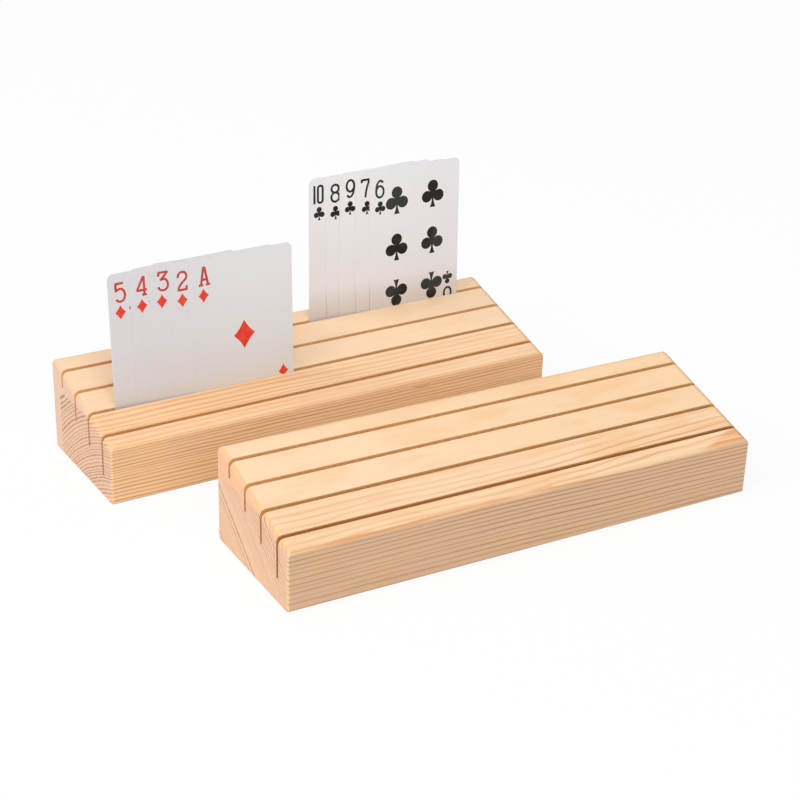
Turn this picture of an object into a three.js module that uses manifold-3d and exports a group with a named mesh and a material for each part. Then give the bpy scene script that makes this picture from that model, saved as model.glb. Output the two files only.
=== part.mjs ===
// A pair of wooden playing card holders, one of them with two hands of cards standing in it.
// Millimetres, +Z up, +X along the holders, +Y towards their taller back.
import * as THREE from 'three';
import { mergeVertices } from 'three/addons/utils/BufferGeometryUtils.js';
import Module from 'manifold-3d';

const wasm = await Module();
wasm.setup();

// Block: one length of pine, planed to a sloping top
const blockLength = 258;
const blockDepth = 75;
const backHeight = 52;
const frontHeight = 30.5;
const backTopRadius = 5;
const frontTopRadius = 2.5;
const leftTopRadius = 3;
const rightTopRadius = 5;
const uprightEdgeRadius = 1.5;
const bottomEdgeRadius = 1;

// Playing card, bridge size
const cardWidth = 57.15;
const cardHeight = 88.9;
const cardThickness = 0.3;
const cardCornerRadius = 3.2;

// Slots: saw cuts along the whole block, each wide enough for one hand of cards and its play. Their depths
// are shares of the block's height at the slot, from the front slot to the back one.
const cardsPerHand = 5;
const cardPlay = 0.06;
const slotPlay = 0.13;
const firstSlotInset = 10;
const lastSlotInset = 14;
const rearDepthShares = [0.653, 0.465, 0.385, 0.196];
const frontDepthShares = [0.626, 0.445, 0.322, 0.198];

// Hands of cards: the slot of each, counted from the front, and the fan's distance from the nearer block end
const diamondSlot = 1;
const diamondInset = 15.1;
const clubSlot = 3;
const clubInset = 20.2;

// The pair on the table: how far the front holder stands off, across and turned
const pairGap = 54.2;
const pairShift = 29.1;
const pairTurn = THREE.MathUtils.degToRad(-1.92);

// How far a cutting or trimming solid runs past the block
const overrun = 10;

// Straight pieces in a quarter turn of a rounded edge
const blockArcSteps = 8;
const cardArcSteps = 6;

const slotWidth = cardsPerHand * cardThickness + (cardsPerHand - 1) * cardPlay + 2 * slotPlay;
const slopeAngle = Math.atan2(backHeight - frontHeight, blockDepth);

const pine = { color: 0xe9c08c, roughness: 0.55, metalness: 0 };
const card = { color: 0xdedbd9, roughness: 0.35, metalness: 0 };

// A card's row: its name, its step along the slot from the fan's first card and its lift off the slot's
// floor, both as shares of the card's width, and its lean in degrees, right side up when positive. Each fan
// runs from its rearmost card to its frontmost.
const diamonds = [
  { name: 'five_of_diamonds', stepShare: 0, liftShare: 0, lean: 1 },
  { name: 'four_of_diamonds', stepShare: 0.201, liftShare: 0.0186, lean: 1.1 },
  { name: 'three_of_diamonds', stepShare: 0.328, liftShare: 0.0163, lean: -1.2 },
  { name: 'two_of_diamonds', stepShare: 0.556, liftShare: 0.0206, lean: 0.5 },
  { name: 'ace_of_diamonds', stepShare: 0.748, liftShare: 0.0045, lean: 1.08 },
];
const clubs = [
  { name: 'ten_of_clubs', stepShare: 0, liftShare: 0.0215, lean: 0.5 },
  { name: 'eight_of_clubs', stepShare: 0.194, liftShare: 0.0189, lean: 1.8 },
  { name: 'nine_of_clubs', stepShare: 0.317, liftShare: 0.0336, lean: 0.35 },
  { name: 'seven_of_clubs', stepShare: 0.4987, liftShare: 0.0096, lean: 0.9 },
  { name: 'six_of_clubs', stepShare: 0.655, liftShare: 0, lean: 1.2 },
];

// Convex outline with each corner rounded by its own radius. Corners are { at: Vector2, radius }, listed
// anticlockwise; each arc touches both sides of its corner.
function roundedOutline(corners, arcSteps) {
  const points = [];
  corners.forEach((corner, index) => {
    const before = corners.at(index - 1).at;
    const after = corners[(index + 1) % corners.length].at;
    const towardsBefore = before.clone().sub(corner.at).normalize();
    const towardsAfter = after.clone().sub(corner.at).normalize();
    const halfAngle = Math.acos(THREE.MathUtils.clamp(towardsBefore.dot(towardsAfter), -1, 1)) / 2;
    const bisector = towardsBefore.clone().add(towardsAfter).normalize();
    const centre = corner.at.clone().addScaledVector(bisector, corner.radius / Math.sin(halfAngle));
    const turn = Math.PI - 2 * halfAngle;
    const startAngle = bisector.angle() + Math.PI - turn / 2;
    const steps = corner.radius > 0 ? arcSteps : 0;
    for (let step = 0; step <= steps; step += 1) {
      const angle = startAngle + (steps ? (turn * step) / steps : 0);
      points.push(new THREE.Vector2(
        centre.x + corner.radius * Math.cos(angle),
        centre.y + corner.radius * Math.sin(angle),
      ));
    }
  });
  return points;
}

// Straight extrusion of an outline, along +Z of its own frame, then placed by a matrix
function prism(points, length, placement) {
  const geometry = new THREE.ExtrudeGeometry(new THREE.Shape(points), {
    depth: length,
    bevelEnabled: false,
    steps: 1,
  });
  return geometry.applyMatrix4(placement);
}

// Matrix whose columns are the directions that an outline's x, y and extrusion take, and its origin
function placementOf(xDirection, yDirection, alongDirection, origin) {
  return new THREE.Matrix4().makeBasis(xDirection, yDirection, alongDirection).setPosition(origin);
}

function toSolid(geometry) {
  const bare = geometry.clone();
  bare.deleteAttribute('normal');
  bare.deleteAttribute('uv');
  const merged = mergeVertices(bare);
  return new wasm.Manifold(new wasm.Mesh({
    numProp: 3,
    vertProperties: new Float32Array(merged.attributes.position.array),
    triVerts: new Uint32Array(merged.index.array),
  }));
}

function toGeometry(solid) {
  const mesh = solid.getMesh();
  const geometry = new THREE.BufferGeometry();
  geometry.setAttribute('position', new THREE.BufferAttribute(new Float32Array(mesh.vertProperties), 3));
  geometry.setIndex(new THREE.BufferAttribute(new Uint32Array(mesh.triVerts), 1));
  geometry.computeVertexNormals();
  return geometry;
}

const alongX = new THREE.Vector3(1, 0, 0);
const alongY = new THREE.Vector3(0, 1, 0);
const alongZ = new THREE.Vector3(0, 0, 1);

function corner(x, y, radius) {
  return { at: new THREE.Vector2(x, y), radius };
}

// End view of the block: upright front and back, sloping top, run along the length
function endProfile() {
  const outline = roundedOutline([
    corner(0, 0, bottomEdgeRadius),
    corner(blockDepth, 0, bottomEdgeRadius),
    corner(blockDepth, backHeight, backTopRadius),
    corner(0, frontHeight, frontTopRadius),
  ], blockArcSteps);
  return prism(outline, blockLength, placementOf(alongY, alongZ, alongX, new THREE.Vector3()));
}

// Rounding of the two sloping top edges at the ends: an outline across the block, run down the slope
function endTopRounding() {
  const downSlope = new THREE.Vector3(0, -Math.cos(slopeAngle), -Math.sin(slopeAngle));
  const outOfSlope = new THREE.Vector3(0, -Math.sin(slopeAngle), Math.cos(slopeAngle));
  const skirt = backHeight + overrun;
  const outline = roundedOutline([
    corner(blockLength, -skirt, 0),
    corner(blockLength, 0, rightTopRadius),
    corner(0, 0, leftTopRadius),
    corner(0, -skirt, 0),
  ], blockArcSteps);
  const reach = Math.hypot(blockDepth, backHeight) + overrun;
  const start = new THREE.Vector3(0, 0, frontHeight).addScaledVector(downSlope, -reach);
  return prism(outline, 2 * reach, placementOf(alongX, outOfSlope, downSlope, start));
}

// Plan of the block: its four upright edges slightly rounded
function planProfile() {
  const outline = roundedOutline([
    corner(0, 0, uprightEdgeRadius),
    corner(blockLength, 0, uprightEdgeRadius),
    corner(blockLength, blockDepth, uprightEdgeRadius),
    corner(0, blockDepth, uprightEdgeRadius),
  ], blockArcSteps);
  return prism(outline, backHeight, placementOf(alongX, alongY, alongZ, new THREE.Vector3()));
}

// Front view of the block: the bottom edges at its two ends slightly rounded
function frontProfile() {
  const outline = roundedOutline([
    corner(0, 0, bottomEdgeRadius),
    corner(blockLength, 0, bottomEdgeRadius),
    corner(blockLength, backHeight, 0),
    corner(0, backHeight, 0),
  ], blockArcSteps);
  const fromBack = new THREE.Vector3(0, blockDepth, 0);
  return prism(outline, blockDepth, placementOf(alongX, alongZ, alongY.clone().negate(), fromBack));
}

// Height of the sloping top, before its edges are rounded, at a distance back from the front face
function topHeight(back) {
  return THREE.MathUtils.mapLinear(back, 0, blockDepth, frontHeight, backHeight);
}

function slotCentre(slot, depthShares) {
  const last = blockDepth - lastSlotInset;
  return THREE.MathUtils.mapLinear(slot, 0, depthShares.length - 1, firstSlotInset, last);
}

function slotFloor(slot, depthShares) {
  return topHeight(slotCentre(slot, depthShares)) * (1 - depthShares[slot]);
}

// Saw cut: square-bottomed, open at the top and at both ends
function slotCut(slot, depthShares) {
  const front = slotCentre(slot, depthShares) - slotWidth / 2;
  const back = slotCentre(slot, depthShares) + slotWidth / 2;
  const floor = slotFloor(slot, depthShares);
  const cutTop = backHeight + overrun;
  const outline = [
    new THREE.Vector2(front, floor),
    new THREE.Vector2(back, floor),
    new THREE.Vector2(back, cutTop),
    new THREE.Vector2(front, cutTop),
  ];
  const fromEnd = new THREE.Vector3(-overrun, 0, 0);
  return prism(outline, blockLength + 2 * overrun, placementOf(alongY, alongZ, alongX, fromEnd));
}

// The slotted wedge, its origin at the bottom of its front left corner
function holderGeometry(depthShares) {
  const trims = [endTopRounding(), planProfile(), frontProfile()].map(toSolid);
  let block = toSolid(endProfile());
  for (const trim of trims) {
    block = block.intersect(trim);
  }
  depthShares.forEach((share, slot) => {
    block = block.subtract(toSolid(slotCut(slot, depthShares)));
  });
  return toGeometry(block);
}

// Card, upright and facing the front, its origin at the bottom of its left edge in mid thickness
function cardGeometry() {
  const outline = roundedOutline([
    corner(0, 0, cardCornerRadius),
    corner(cardWidth, 0, cardCornerRadius),
    corner(cardWidth, cardHeight, cardCornerRadius),
    corner(0, cardHeight, cardCornerRadius),
  ], cardArcSteps);
  const fromBackFace = new THREE.Vector3(0, cardThickness / 2, 0);
  return prism(outline, cardThickness, placementOf(alongX, alongZ, alongY.clone().negate(), fromBackFace));
}

// How far a leaning card's lowest point lies below its origin: the lower corner it stands on is rounded
function dropBelowOrigin(lean) {
  const tilt = Math.abs(lean);
  const centreHeight = cardCornerRadius * Math.cos(tilt)
    + (lean > 0 ? 1 : 0) * cardCornerRadius * Math.sin(tilt)
    - (lean < 0 ? 1 : 0) * (cardWidth - cardCornerRadius) * Math.sin(tilt);
  return cardCornerRadius - centreHeight;
}

// A fan of cards in one slot, packed front to back with a little play and centred in the slot. Its first
// card's lower left corner stands at fanStart.
function fanOfCards(rows, slot, fanStart) {
  const fan = new THREE.Group();
  const pitch = cardThickness + cardPlay;
  const rearmost = slotCentre(slot, rearDepthShares) + (pitch * (rows.length - 1)) / 2;
  rows.forEach((row, index) => {
    const lean = THREE.MathUtils.degToRad(row.lean);
    const mesh = new THREE.Mesh(cardGeometry(), new THREE.MeshStandardMaterial(card));
    mesh.name = row.name;
    mesh.rotation.y = -lean;
    mesh.position.set(
      fanStart + row.stepShare * cardWidth,
      rearmost - index * pitch,
      slotFloor(slot, rearDepthShares) + row.liftShare * cardWidth + dropBelowOrigin(lean),
    );
    fan.add(mesh);
  });
  return fan;
}

function holder(name, depthShares) {
  const mesh = new THREE.Mesh(holderGeometry(depthShares), new THREE.MeshStandardMaterial(pine));
  mesh.name = name;
  return mesh;
}

const clubSpan = (1 + clubs.at(-1).stepShare) * cardWidth;

const pair = new THREE.Group();
pair.add(holder('rear_holder', rearDepthShares));
pair.add(fanOfCards(diamonds, diamondSlot, diamondInset));
pair.add(fanOfCards(clubs, clubSlot, blockLength - clubInset - clubSpan));

const frontHolder = holder('front_holder', frontDepthShares);
frontHolder.rotation.z = pairTurn;
frontHolder.position.set(pairShift, -pairGap - blockDepth, 0);
pair.add(frontHolder);

// The origin is on the table, under the middle of everything
const bounds = new THREE.Box3().setFromObject(pair, true);
const middle = bounds.getCenter(new THREE.Vector3());
pair.position.set(-middle.x, -middle.y, -bounds.min.z);

const model = new THREE.Group();
model.add(pair);

export default model;
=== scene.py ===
import math

import bmesh
import bpy
from mathutils import Matrix, Vector


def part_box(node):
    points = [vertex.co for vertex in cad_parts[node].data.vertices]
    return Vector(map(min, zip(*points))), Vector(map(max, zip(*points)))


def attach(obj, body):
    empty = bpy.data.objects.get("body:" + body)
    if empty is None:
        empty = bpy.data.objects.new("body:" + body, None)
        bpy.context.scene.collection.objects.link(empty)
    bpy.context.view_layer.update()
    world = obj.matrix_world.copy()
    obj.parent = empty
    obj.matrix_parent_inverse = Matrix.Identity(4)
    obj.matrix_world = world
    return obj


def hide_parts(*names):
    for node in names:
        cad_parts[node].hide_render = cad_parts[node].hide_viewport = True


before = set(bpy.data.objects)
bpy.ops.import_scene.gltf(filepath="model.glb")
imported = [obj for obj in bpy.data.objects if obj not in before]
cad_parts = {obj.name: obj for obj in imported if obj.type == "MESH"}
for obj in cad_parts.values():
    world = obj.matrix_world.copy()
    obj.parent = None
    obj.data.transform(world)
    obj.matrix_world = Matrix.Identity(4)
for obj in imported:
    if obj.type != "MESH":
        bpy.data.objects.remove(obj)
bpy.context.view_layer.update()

MM = 0.001

# Sizes of the blocks, as they are in the part
BLOCK_LENGTH = 258 * MM
BLOCK_DEPTH = 75 * MM
BACK_HEIGHT = 52 * MM
FRONT_HEIGHT = 30.5 * MM
BACK_TOP_RADIUS = 5 * MM
FRONT_TOP_RADIUS = 2.5 * MM
LEFT_TOP_RADIUS = 3 * MM
RIGHT_TOP_RADIUS = 5 * MM
UPRIGHT_RADIUS = 1.5 * MM
BOTTOM_RADIUS = 1 * MM
SLOT_WIDTH = 2 * MM
SLOT_LIP = 0.12 * MM
SLOT_BACKS = [10 * MM, 27 * MM, 44 * MM, 61 * MM]
REAR_DEPTH_SHARES = [0.653, 0.465, 0.385, 0.196]
FRONT_DEPTH_SHARES = [0.626, 0.445, 0.322, 0.198]
FRONT_TURN = math.radians(-1.92)
BLADE_OVERRUN = 20 * MM
SMOOTH_ANGLE = math.radians(35)
LIP_ANGLE = math.radians(55)
ROUNDING_STEPS = 8
LIP_STEPS = 2

# Sizes of a card and its print
CARD_WIDTH = 57.15 * MM
CARD_HEIGHT = 88.9 * MM
CARD_THICKNESS = 0.3 * MM
CARD_CORNER = 3.2 * MM
CARD_CORNER_STEPS = 6
INK_THICKNESS = 0.02 * MM
INDEX_HEIGHT = 9.45 * MM
INDEX_STROKE = 1.26 * MM
PIP_COLUMN = 11.5 * MM
PIP_ROW = 27.2 * MM
SMALL_DIAMOND = (5.75 * MM, 7.6 * MM)
LARGE_DIAMOND = (11.9 * MM, 15.8 * MM)
SMALL_CLUB = (6.5 * MM, 7.5 * MM)
LARGE_CLUB = (14.1 * MM, 15.7 * MM)

rear_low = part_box("rear_holder")[0]
front_low, front_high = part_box("front_holder")


# Helpers for modelling

def deselect_everything():
    bpy.ops.object.select_all(action="DESELECT")


def make_active(piece):
    deselect_everything()
    piece.select_set(True)
    bpy.context.view_layer.objects.active = piece


def select_vertices(piece, wanted):
    """Selects the vertices of a piece in edit mode that pass a test, and nothing else."""
    bpy.context.tool_settings.mesh_select_mode = (True, False, False)
    bpy.ops.mesh.select_all(action="DESELECT")
    shape = bmesh.from_edit_mesh(piece.data)
    for vertex in shape.verts:
        vertex.select = wanted(vertex)
    shape.select_flush_mode()
    bmesh.update_edit_mesh(piece.data)


def apply_size():
    bpy.ops.object.transform_apply(location=True, rotation=True, scale=True)


def finish_modifier(piece, modifier):
    make_active(piece)
    bpy.ops.object.modifier_apply(modifier=modifier.name)


def close_to(value, target):
    return abs(value - target) < 0.01 * MM


# Pine blocks

def top_at(back):
    """How high the sloping top stands at a distance behind the front face."""
    return FRONT_HEIGHT + (BACK_HEIGHT - FRONT_HEIGHT) * back / BLOCK_DEPTH


def slot_floor(back, share):
    return top_at(back) * (1 - share)


def sloping_block(name):
    """A block with a sloping top and rounded edges, its front left bottom corner at the origin."""
    deselect_everything()
    middle = (BLOCK_LENGTH / 2, BLOCK_DEPTH / 2, BACK_HEIGHT / 2)
    bpy.ops.mesh.primitive_cube_add(size=1, location=middle)
    block = bpy.context.object
    block.name = name
    block.scale = (BLOCK_LENGTH, BLOCK_DEPTH, BACK_HEIGHT)
    apply_size()
    bpy.ops.object.mode_set(mode="EDIT")
    select_vertices(block, lambda v: close_to(v.co.y, 0) and close_to(v.co.z, BACK_HEIGHT))
    bpy.ops.transform.translate(value=(0, 0, FRONT_HEIGHT - BACK_HEIGHT))
    bpy.ops.object.mode_set(mode="OBJECT")

    # How far each rounding runs from its edge: the back corner is sharper than square, the front blunter
    slope = math.atan2(BACK_HEIGHT - FRONT_HEIGHT, BLOCK_DEPTH)
    back_reach = BACK_TOP_RADIUS / math.tan(math.pi / 4 - slope / 2)
    front_reach = FRONT_TOP_RADIUS / math.tan(math.pi / 4 + slope / 2)
    weights = block.data.attributes.new("bevel_weight_edge", "FLOAT", "EDGE")
    for edge in block.data.edges:
        ends = [block.data.vertices[i].co for i in edge.vertices]
        middle = (ends[0] + ends[1]) / 2
        if all(end.z > FRONT_HEIGHT - MM for end in ends):
            if close_to(middle.y, BLOCK_DEPTH):
                reach = back_reach
            elif close_to(middle.y, 0):
                reach = front_reach
            else:
                reach = LEFT_TOP_RADIUS if middle.x < BLOCK_LENGTH / 2 else RIGHT_TOP_RADIUS
        else:
            reach = BOTTOM_RADIUS if all(end.z < MM for end in ends) else UPRIGHT_RADIUS
        weights.data[edge.index].value = reach / back_reach
    rounding = block.modifiers.new("rounded edges", "BEVEL")
    rounding.limit_method = "WEIGHT"
    rounding.width = back_reach
    rounding.segments = ROUNDING_STEPS
    finish_modifier(block, rounding)
    return block


def saw_slots(block, depth_shares):
    """Cuts the four slots along the block and eases their lips."""
    for back, share in zip(SLOT_BACKS, depth_shares):
        floor = slot_floor(back, share)
        height = BACK_HEIGHT + BLADE_OVERRUN - floor
        deselect_everything()
        bpy.ops.mesh.primitive_cube_add(size=1, location=(BLOCK_LENGTH / 2, back, floor + height / 2))
        blade = bpy.context.object
        blade.scale = (BLOCK_LENGTH + BLADE_OVERRUN, SLOT_WIDTH, height)
        apply_size()
        cut = block.modifiers.new("saw cut", "BOOLEAN")
        cut.operation = "DIFFERENCE"
        cut.solver = "EXACT"
        cut.object = blade
        finish_modifier(block, cut)
        bpy.data.objects.remove(blade)
    lips = block.modifiers.new("eased lips", "BEVEL")
    lips.limit_method = "ANGLE"
    lips.angle_limit = LIP_ANGLE
    lips.width = SLOT_LIP
    lips.segments = LIP_STEPS
    finish_modifier(block, lips)
    make_active(block)
    bpy.ops.object.shade_smooth_by_angle(angle=SMOOTH_ANGLE)
    level = block.modifiers.new("flat faces stay flat", "WEIGHTED_NORMAL")
    level.keep_sharp = True
    finish_modifier(block, level)


def pine_holder(node, depth_shares, place, material):
    holder = sloping_block(node + "_pine")
    saw_slots(holder, depth_shares)
    holder.data.transform(place)
    holder.data.update()
    holder.data.materials.clear()
    holder.data.materials.append(material)
    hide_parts(node)
    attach(holder, node)


# Helpers for material nodes

def link(tree, source, target):
    tree.links.new(source, target)


def new_node(tree, kind, **settings):
    made = tree.nodes.new(kind)
    for name, value in settings.items():
        setattr(made, name, value)
    return made


def give(tree, value, socket):
    """Sets a socket to a number or a colour, or links another socket to it."""
    if isinstance(value, (int, float)):
        socket.default_value = value
    elif isinstance(value, tuple):
        socket.default_value = (*value, 1)
    else:
        link(tree, value, socket)


def maths(tree, operation, *values, clamp=False):
    """A Math node; its values are sockets or plain numbers."""
    made = new_node(tree, "ShaderNodeMath", operation=operation, use_clamp=clamp)
    for value, socket in zip(values, made.inputs):
        give(tree, value, socket)
    return made.outputs[0]


def product(tree, value, *factors):
    for factor in factors:
        value = maths(tree, "MULTIPLY", value, factor)
    return value


def less(tree, value, amount):
    return maths(tree, "SUBTRACT", value, amount)


def unsigned(tree, value):
    return maths(tree, "ABSOLUTE", value)


def flipped(tree, share):
    """What is left of one after a share."""
    return less(tree, 1, share)


def length_of(tree, first, second):
    """The long side over two sides at a right angle."""
    squares = maths(tree, "ADD", product(tree, first, first), product(tree, second, second))
    return maths(tree, "SQRT", squares)


def axes(tree, vector):
    """The X, Y and Z of a vector."""
    parts = new_node(tree, "ShaderNodeSeparateXYZ")
    link(tree, vector, parts.inputs[0])
    return parts.outputs


def face_axes(tree):
    """How far a face looks to the right, to the back and upwards."""
    return axes(tree, new_node(tree, "ShaderNodeNewGeometry").outputs["Normal"])


def between(tree, value, start, end, low=0.0, high=1.0):
    """A smooth step from low to high as the value goes from start to end."""
    made = new_node(tree, "ShaderNodeMapRange", interpolation_type="SMOOTHSTEP")
    labels = ("Value", "From Min", "From Max", "To Min", "To Max")
    for label, given in zip(labels, (value, start, end, low, high)):
        give(tree, given, made.inputs[label])
    return made.outputs[0]


def blend_colour(tree, share, first, second, mode="MIX"):
    made = new_node(tree, "ShaderNodeMix", data_type="RGBA", blend_type=mode)
    for index, value in ((0, share), (6, first), (7, second)):
        give(tree, value, made.inputs[index])
    return made.outputs[2]


def shaded(tree, colour, shade):
    return blend_colour(tree, 1.0, colour, shade, "MULTIPLY")


def stretched_noise(tree, place, sizes, detail=2.0, roughness=0.5, seed=0.0):
    """Noise whose features are as long as sizes in the three directions, in the unit of place."""
    squeeze = new_node(tree, "ShaderNodeMapping")
    squeeze.inputs["Scale"].default_value = [1 / size for size in sizes]
    squeeze.inputs["Location"].default_value = (seed, seed * 0.7, -seed)
    link(tree, place, squeeze.inputs["Vector"])
    noise = new_node(tree, "ShaderNodeTexNoise")
    noise.inputs["Scale"].default_value = 1
    noise.inputs["Detail"].default_value = detail
    noise.inputs["Roughness"].default_value = roughness
    link(tree, squeeze.outputs[0], noise.inputs["Vector"])
    return noise.outputs["Fac"]


def curve_of(tree, value, points, top=1.0):
    """A value read off a line drawn through points, whose levels run up to top."""
    low, high = points[0][0], points[-1][0]
    scaled = new_node(tree, "ShaderNodeMapRange")
    for label, given in (("Value", value), ("From Min", low), ("From Max", high)):
        give(tree, given, scaled.inputs[label])
    drawn = new_node(tree, "ShaderNodeFloatCurve")
    line = drawn.mapping.curves[0]
    places = [((at - low) / (high - low), level / top) for at, level in points]
    line.points[0].location, line.points[1].location = places[0], places[-1]
    for place in places[1:-1]:
        line.points.new(*place)
    for point in line.points:
        point.handle_type = "VECTOR"
    drawn.mapping.update()
    link(tree, scaled.outputs[0], drawn.inputs["Value"])
    return product(tree, drawn.outputs[0], top)


def add_bump(tree, surface, height, strength, distance):
    raised = new_node(tree, "ShaderNodeBump")
    raised.inputs["Strength"].default_value = strength
    raised.inputs["Distance"].default_value = distance
    link(tree, height, raised.inputs["Height"])
    link(tree, raised.outputs[0], surface["Normal"])


def new_material(name):
    """A material, its node tree and the inputs of its Principled shader."""
    material = bpy.data.materials.new(name)
    material.use_nodes = True
    tree = material.node_tree
    return material, tree, tree.nodes["Principled BSDF"].inputs


def new_group(name, inputs, outputs):
    tree = bpy.data.node_groups.new(name, "ShaderNodeTree")
    for label, kind, value in inputs:
        socket = tree.interface.new_socket(label, in_out="INPUT", socket_type=kind)
        if value is not None:
            socket.default_value = value
    for label in outputs:
        tree.interface.new_socket(label, in_out="OUTPUT", socket_type="NodeSocketFloat")
    return tree, tree.nodes.new("NodeGroupInput").outputs, tree.nodes.new("NodeGroupOutput").inputs


def shared(tree, group, **given):
    """The outputs of a shared group, its inputs set or linked by name."""
    made = new_node(tree, "ShaderNodeGroup", node_tree=group)
    for label, value in given.items():
        give(tree, value, made.inputs[label])
    return made.outputs


# Pine: sizes of its marks, in millimetres along, behind and above
SLOW_BEND_SIZE = (110, 40, 40)
QUICK_BEND_SIZE = (38, 9, 9)
FIBRE_SIZE = (26, 0.45, 0.45)
CLOUD_SIZE = (34, 12, 12)
PORE_SIZE = (3.2, 0.28, 0.28)
STREAK_SIZE = (60, 2.2, 2.2)
FLAME_SIZE = (90, 2.6, 2.6)
SAW_MARK_SIZE = (1.5, 40, 8)

# Where along the block its look changes, in millimetres from the left end
TAPER_START = 110
CALM_TOP_SPAN = (60, 190)
CALM_FRONT_SPAN = (60, 160)
PALE_CORNER_SPAN = (70, 150)
TOP_COLOUR_SPAN = (60, 200)
BOARD_COLOUR_SPAN = (90, 220)
CLOUD_SPAN = (50, 180)
# Painted shade in the slots grows towards the right end over this span
DARK_SLOT_SPAN = (120, 220)

# Where it changes behind the front face and above the table, in millimetres
FIRST_STRIP_BACK = (8.5, 9.5)
PALE_CORNER_BACK = (18.5, 20.5)
FAINT_RINGS_BACK = (2, 24)
BOARD_BACK = (26.0, 27.5)
PLAIN_STRIP_BACK = (64.6, 65.6)
KNOT_BACK = (1.5, 7)
KNOT_REACH = (7.5, 2.4)
BOARD_HEIGHT = (35.2, 36.6)
FLUTTER_HEIGHT = (27, 31)
PATCH_HEIGHT = (28.2, 29.4)
SHADED_FOOT_HEIGHT = (0.2, 1.3)
# Painted shade in the slots: how deep and how far from the open ends it grows
SLOT_SHADE_DEPTH = (0, 1.3)
SLOT_SHADE_FROM_END = (0, 1.7)
WALL_SLACK = (0.03, 0.1)
FLOOR_SLACK = (-0.1, -0.02)

# How far a face has to look to a side to count as facing it
END_FACING = (0.35, 0.9)
FRONT_FACING = (0.84, 0.995)
TOP_FACING = (0.5, 0.9)
ROUNDED_END_FACING = (0.03, 0.6)
PAST_ROUNDED_END = (0.72, 1)
ROUNDED_END_TOP = (0.15, 0.5)
ROUNDED_FRONT_FACING = (0.4, 0.75)
PAST_ROUNDED_FRONT = (0.96, 1)

# Which part of each noise counts, and between which factors it moves what it shades
FRONT_CLOUDS = (0.4, 0.62)
TOP_CLOUDS = (0.44, 0.66)
FLAMES = (0.5, 0.68)
PORES = (0.63, 0.75)
RING_CHANCE = (0.15, 0.85)
STREAKS, STREAK_FACTORS = (0.3, 0.7), (0.65, 1.25)
PATCH_STREAKS, PATCH_FACTORS = (0.38, 0.58), (0.3, 1)
FIBRES, FIBRE_FACTORS = (-0.25, 0.25), (1.055, 0.935)
SAW_MARKS, SAW_MARK_FACTORS = (0.35, 0.65), (0.92, 1.07)

# Shares of the pine's effects
YEAR_END = (0.93, 1.0)
SLOW_BEND_SHARE = 4
KNOT_FADE = (0.1, 1)
KNOT_BEND = 1.3
KNOT_SHARE = 0.5
FAINT_RINGS_SHARE = 0.75
PLAIN_SHARE = 0.93
BOARD_RIGHT_SHARE = 0.2
CLOUD_LEFT_SHARE = 0.5
FLAME_SHARE = 0.4
ROUNDED_END_SHARE = 0.9
ROUNDED_FRONT_SHARE = 0.75
PATCH_START_WIDTH = 0.3
PATCH_FULL_SHARE = 0.5
END_CALM_SHARE = 0.85
PLAIN_CALM_SHARE = 0.45
PORE_SHARE = 0.18
SHADED_FOOT_SHARE = 0.72
# Shares of the painted shade in the slots
SLOT_SHADE_SHARES = (0.35, 0.95)
SLOT_SHADE_END_SHARE = 0.3
DARK_SLOT_SHARE = 0.89
PINE_ROUGHNESS = 0.5
FIBRE_ROUGHNESS = 0.16
END_ROUGHNESS = 0.12
FIBRE_RELIEF = 0.5
LATE_RELIEF = -0.35


def growth_ring_group():
    """How far a point lies from the tree's heart, in millimetres, with the wander of real rings."""
    tree, given, result = new_group("growth rings", [
        ("Place", "NodeSocketVector", None),
        ("Heart Back", "NodeSocketFloat", 0.0),
        ("Heart Height", "NodeSocketFloat", -90.0),
        ("Wander", "NodeSocketFloat", 0.8),
        ("Flutter", "NodeSocketFloat", 0.7),
        ("Seed", "NodeSocketFloat", 0.0),
    ], ["Distance"])
    place = axes(tree, given["Place"])
    radius = length_of(tree, less(tree, place["Y"], given["Heart Back"]),
                       less(tree, place["Z"], given["Heart Height"]))
    shift = new_node(tree, "ShaderNodeCombineXYZ")
    link(tree, given["Seed"], shift.inputs["X"])
    shifted = new_node(tree, "ShaderNodeVectorMath", operation="ADD")
    link(tree, given["Place"], shifted.inputs[0])
    link(tree, shift.outputs[0], shifted.inputs[1])
    slow = stretched_noise(tree, shifted.outputs[0], SLOW_BEND_SIZE, detail=1)
    quick = stretched_noise(tree, shifted.outputs[0], QUICK_BEND_SIZE, detail=1, seed=7)
    wander = product(tree, less(tree, slow, 0.5), given["Wander"], SLOW_BEND_SHARE)
    flutter = product(tree, less(tree, quick, 0.5), given["Flutter"])
    bend = maths(tree, "ADD", wander, flutter)
    link(tree, maths(tree, "ADD", radius, bend), result["Distance"])
    return tree


def late_wood_group():
    """Darkness of the late wood: it grows through each ring and stops short at the ring's end."""
    tree, given, result = new_group("late wood", [
        ("Count", "NodeSocketFloat", 0.0),
        ("Start", "NodeSocketFloat", 0.4),
        ("Full", "NodeSocketFloat", 0.8),
    ], ["Late"])
    through = maths(tree, "FRACT", given["Count"])
    rise = between(tree, through, given["Start"], given["Full"])
    fall = between(tree, through, *YEAR_END, 1, 0)
    link(tree, product(tree, rise, fall), result["Late"])
    return tree


def fibre_group():
    """Fine fibres along the grain, broad pale and dark clouds, and pores."""
    tree, given, result = new_group("pine fibre", [
        ("Place", "NodeSocketVector", None),
    ], ["Fibre", "Cloud", "Pore"])
    fine = stretched_noise(tree, given["Place"], FIBRE_SIZE, detail=3, roughness=0.6)
    broad = stretched_noise(tree, given["Place"], CLOUD_SIZE, detail=2, seed=3)
    speck = stretched_noise(tree, given["Place"], PORE_SIZE, detail=1, seed=11)
    link(tree, fine, result["Fibre"])
    link(tree, broad, result["Cloud"])
    link(tree, between(tree, speck, *PORES), result["Pore"])
    return tree


GROWTH_RINGS = growth_ring_group()
LATE_WOOD = late_wood_group()
PINE_FIBRE = fibre_group()


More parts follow.
